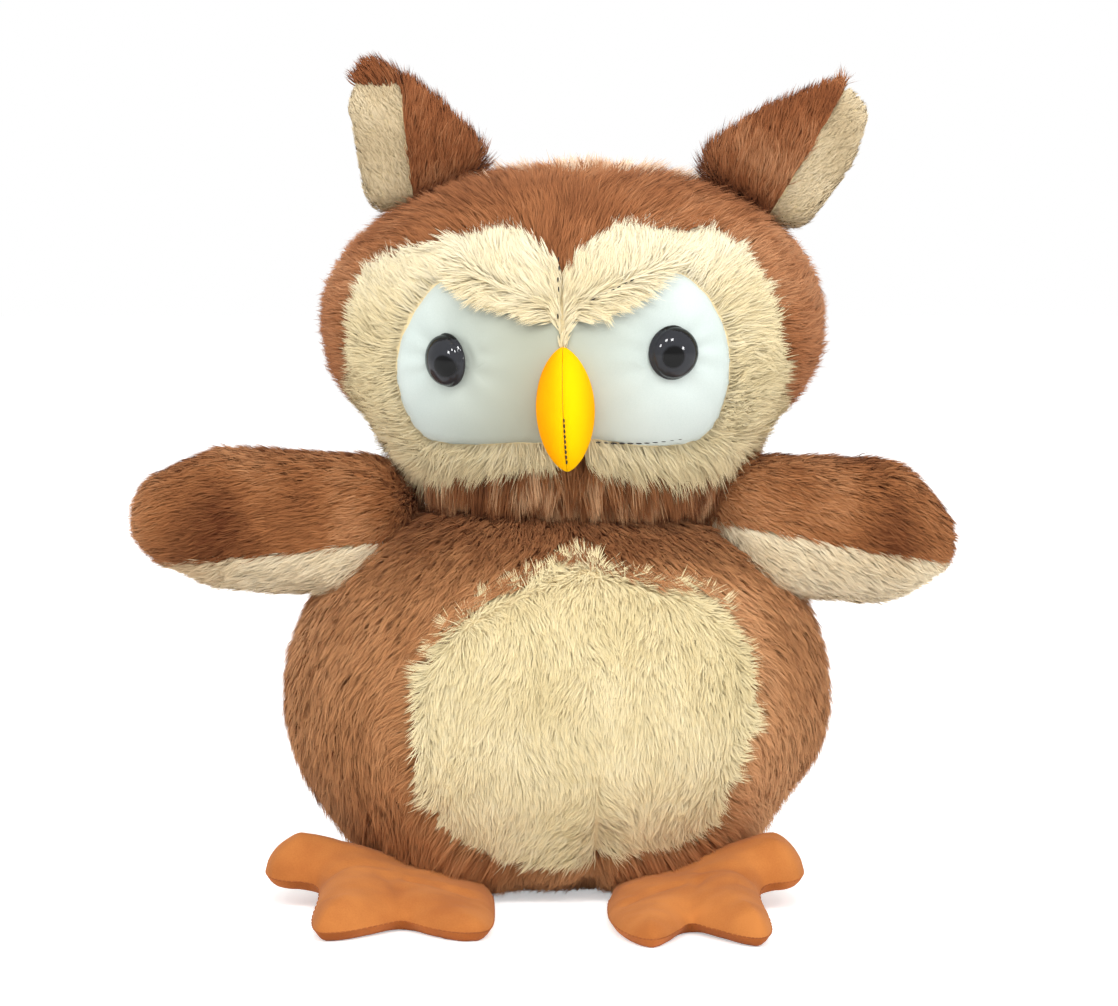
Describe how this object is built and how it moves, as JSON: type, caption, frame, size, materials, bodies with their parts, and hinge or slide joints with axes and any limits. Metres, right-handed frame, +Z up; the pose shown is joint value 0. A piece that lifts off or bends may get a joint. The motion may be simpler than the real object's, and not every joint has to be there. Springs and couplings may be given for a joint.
{
  "type": "plush owl",
  "caption": "Stuffed owl with a round body, wide head, tufted ears, short wings and flat three-toed feet, sewn from plush, satin and suede cloth over filling.",
  "frame": {"origin": "middle of the flat seat under the body, on the surface that the owl stands on", "axes": "+Z up, the owl faces -Y, +X to the viewer's right"},
  "size_m": [0.2392, 0.1729, 0.2393],
  "materials": {
    "brown_plush": "matte",
    "cream_plush": "matte",
    "white_satin": "satin",
    "black_eye": "gloss",
    "washer_plastic": "satin",
    "yellow_felt": "matte",
    "orange_suede": "matte",
    "filling": "matte"
  },
  "bodies": {
    "body": {"body_skin": "brown_plush", "belly_panel": "cream_plush", "body_stuffing": "filling"},
    "head": {"head_skin": "brown_plush", "face_panel_left": "cream_plush", "face_panel_right": "cream_plush", "eye_panel_left": "white_satin", "eye_panel_right": "white_satin", "eye_left": "black_eye", "eye_right": "black_eye", "eye_washer_left": "washer_plastic", "eye_washer_right": "washer_plastic", "head_stuffing": "filling", "beak_left": "yellow_felt", "beak_right": "yellow_felt", "beak_stuffing": "filling"},
    "ear_left": {"ear_inner_left": "brown_plush", "ear_outer_left": "cream_plush", "ear_stuffing_left": "filling"},
    "ear_right": {"ear_inner_right": "brown_plush", "ear_outer_right": "cream_plush", "ear_stuffing_right": "filling"},
    "wing_left": {"wing_upper_left": "brown_plush", "wing_lower_left": "cream_plush", "wing_stuffing_left": "filling"},
    "wing_right": {"wing_upper_right": "brown_plush", "wing_lower_right": "cream_plush", "wing_stuffing_right": "filling"},
    "foot_left": {"foot_upper_left": "orange_suede", "foot_sole_left": "orange_suede", "foot_stuffing_left": "filling"},
    "foot_right": {"foot_upper_right": "orange_suede", "foot_sole_right": "orange_suede", "foot_stuffing_right": "filling"}
  },
  "joints": [
    {"name": "head_turn", "type": "hinge", "parent": "body", "child": "head", "pos_m": [0.0045, 0, 0.111], "axis": [0, 0, 1], "range_deg": [-15, 15], "stiffness_Nm_per_rad": 0.25},
    {"name": "ear_left_flop", "type": "hinge", "parent": "head", "child": "ear_left", "pos_m": [-0.04155, 0.00282, 0.21005], "axis": [-0.9279, 0.0568, -0.3684], "range_deg": [-20, 20], "stiffness_Nm_per_rad": 0.03},
    {"name": "ear_right_flop", "type": "hinge", "parent": "head", "child": "ear_right", "pos_m": [0.0612, -0.00347, 0.20687], "axis": [0.8642, -0.0529, -0.5004], "range_deg": [-20, 20], "stiffness_Nm_per_rad": 0.03},
    {"name": "wing_left_swing", "type": "hinge", "parent": "body", "child": "wing_left", "pos_m": [-0.07439, -0.004, 0.10571], "axis": [-0.6998, 0, -0.7143], "range_deg": [-45, 35], "stiffness_Nm_per_rad": 0.08},
    {"name": "wing_right_swing", "type": "hinge", "parent": "body", "child": "wing_right", "pos_m": [0.07439, -0.004, 0.10571], "axis": [0.6998, 0, -0.7143], "range_deg": [-35, 45], "stiffness_Nm_per_rad": 0.08},
    {"name": "foot_left_lift", "type": "hinge", "parent": "body", "child": "foot_left", "pos_m": [-0.04715, -0.04038, 0.01881], "axis": [-0.7434, 0.6689, 0], "range_deg": [0, 35], "stiffness_Nm_per_rad": 0.08},
    {"name": "foot_right_lift", "type": "hinge", "parent": "body", "child": "foot_right", "pos_m": [0.04013, -0.04586, 0.01881], "axis": [-0.8291, -0.5591, 0], "range_deg": [0, 35], "stiffness_Nm_per_rad": 0.08}
  ]
}
